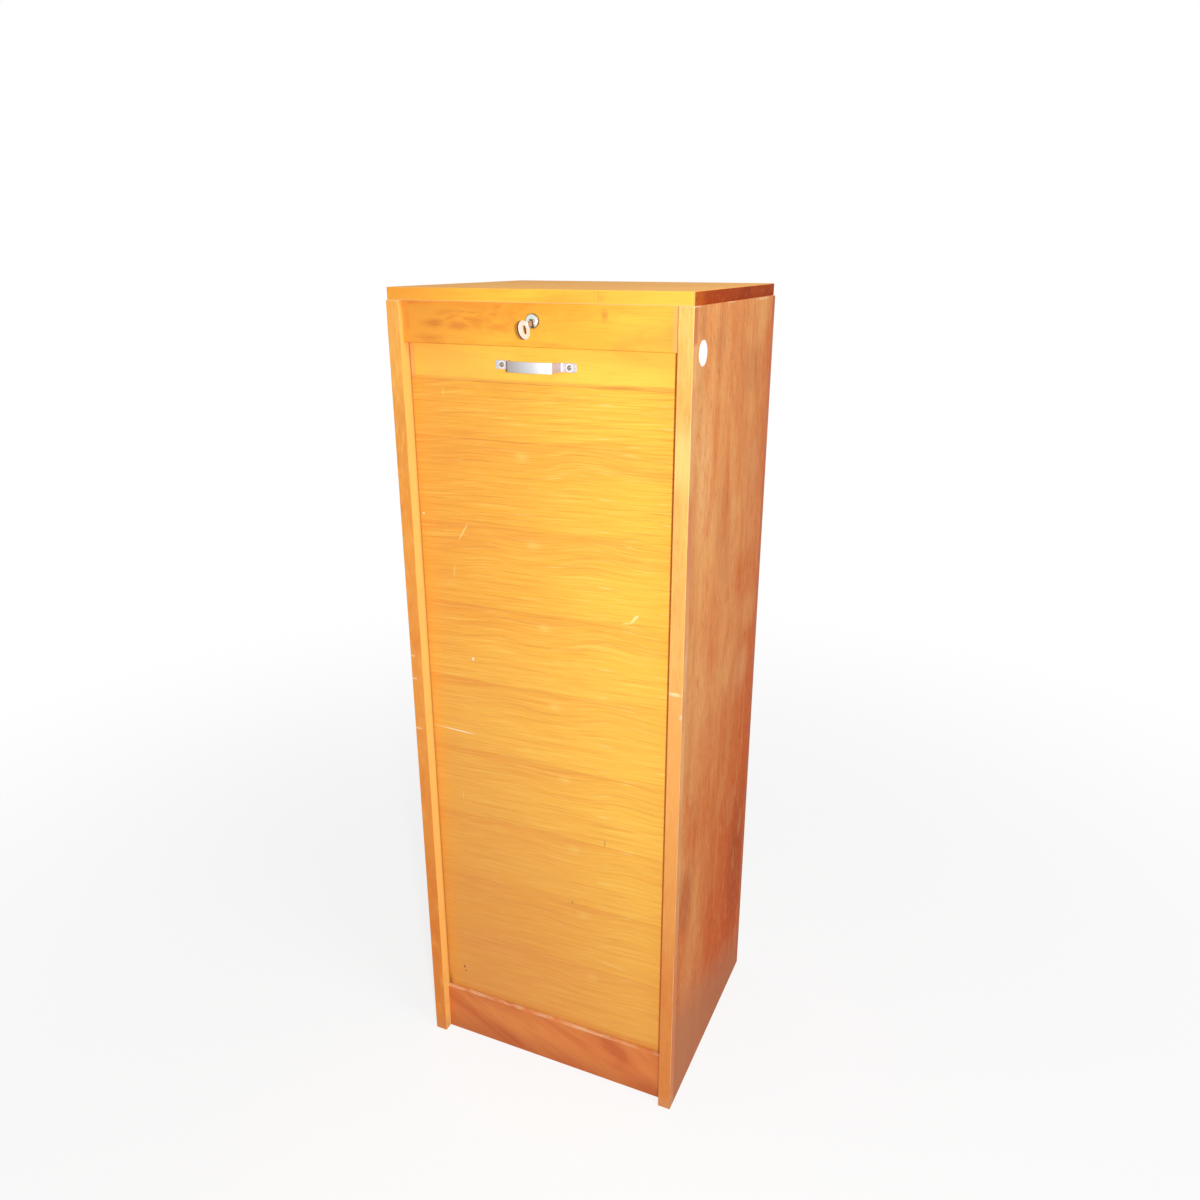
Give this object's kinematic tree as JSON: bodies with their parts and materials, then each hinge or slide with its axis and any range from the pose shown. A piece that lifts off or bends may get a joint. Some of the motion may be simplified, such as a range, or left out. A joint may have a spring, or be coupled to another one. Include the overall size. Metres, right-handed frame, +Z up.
{
  "type": "roll-top document cabinet",
  "caption": "Tall wooden cabinet whose slatted front curtain slides down in tracks, with a cam lock, key and strap pull above shelves.",
  "frame": {"origin": "centre of the bounding box on the floor, key included", "axes": "+X to the right seen from the front, +Y from the front to the back, +Z up"},
  "size_m": [0.4143, 0.3912, 1.18],
  "materials": {
    "side_veneer": "varnished veneer",
    "lipping": "varnished solid wood",
    "front_wood": "varnished veneer",
    "curtain_veneer": "varnished veneer over strips",
    "plinth_wood": "varnished, worn along its upper arris",
    "inner_wood": "unpolished",
    "plywood": "thin plywood",
    "canvas": "coarse linen",
    "pull_metal": "satin, slightly worn",
    "lock_metal": "nickel plated",
    "key_metal": "bright, worn",
    "steel": "plain",
    "paper": "blank paper"
  },
  "bodies": {
    "carcass": {"left_side_panel": "side_veneer", "right_side_panel": "side_veneer", "left_front_lipping": "lipping", "right_front_lipping": "lipping", "left_rear_lipping": "lipping", "right_rear_lipping": "lipping", "top_board": "front_wood", "top_front_lipping": "front_wood", "top_left_lipping": "plinth_wood", "top_right_lipping": "plinth_wood", "lock_rail": "front_wood", "plinth_rail": "plinth_wood", "rear_top_rail": "inner_wood", "rear_bottom_rail": "inner_wood", "floor_board": "inner_wood", "ceiling_board": "plywood", "inner_back": "plywood", "back_panel": "plywood", "glue_blocks": "inner_wood", "left_rack": "inner_wood", "right_rack": "inner_wood", "back_screws": "steel", "lock_housing": "lock_metal", "lock_nut": "steel", "paper_dot": "paper", "shelf_1": "plywood", "shelf_2": "plywood", "shelf_3": "plywood", "shelf_4": "plywood", "shelf_5": "plywood", "shelf_6": "plywood", "shelf_7": "plywood", "shelf_8": "plywood", "shelf_9": "plywood"},
    "curtain": {"lead_rail": "front_wood", "canvas_batten": "inner_wood", "handle": "pull_metal", "handle_screws": "steel", "keeper": "steel", "keeper_screws": "steel", "curtain_slats": "curtain_veneer", "curtain_canvas": "canvas"},
    "lock_barrel": {"lock_plug": "lock_metal", "lock_cam": "steel", "cam_screw": "steel"},
    "key": {"key": "key_metal"}
  },
  "joints": [
    {"name": "curtain_slide", "type": "slide", "parent": "carcass", "child": "curtain", "axis": [0, 0, -1], "range_m": [0, 0.983], "deforming": ["curtain_slats", "curtain_canvas"]},
    {"name": "lock_turn", "type": "hinge", "parent": "carcass", "child": "lock_barrel", "pos_m": [0, -0.1424, 1.1402], "axis": [0, -1, 0], "range_deg": [-12, 78]},
    {"name": "key_slide", "type": "slide", "parent": "lock_barrel", "child": "key", "axis": [0, -1, 0], "range_m": [0, 0.026]}
  ]
}
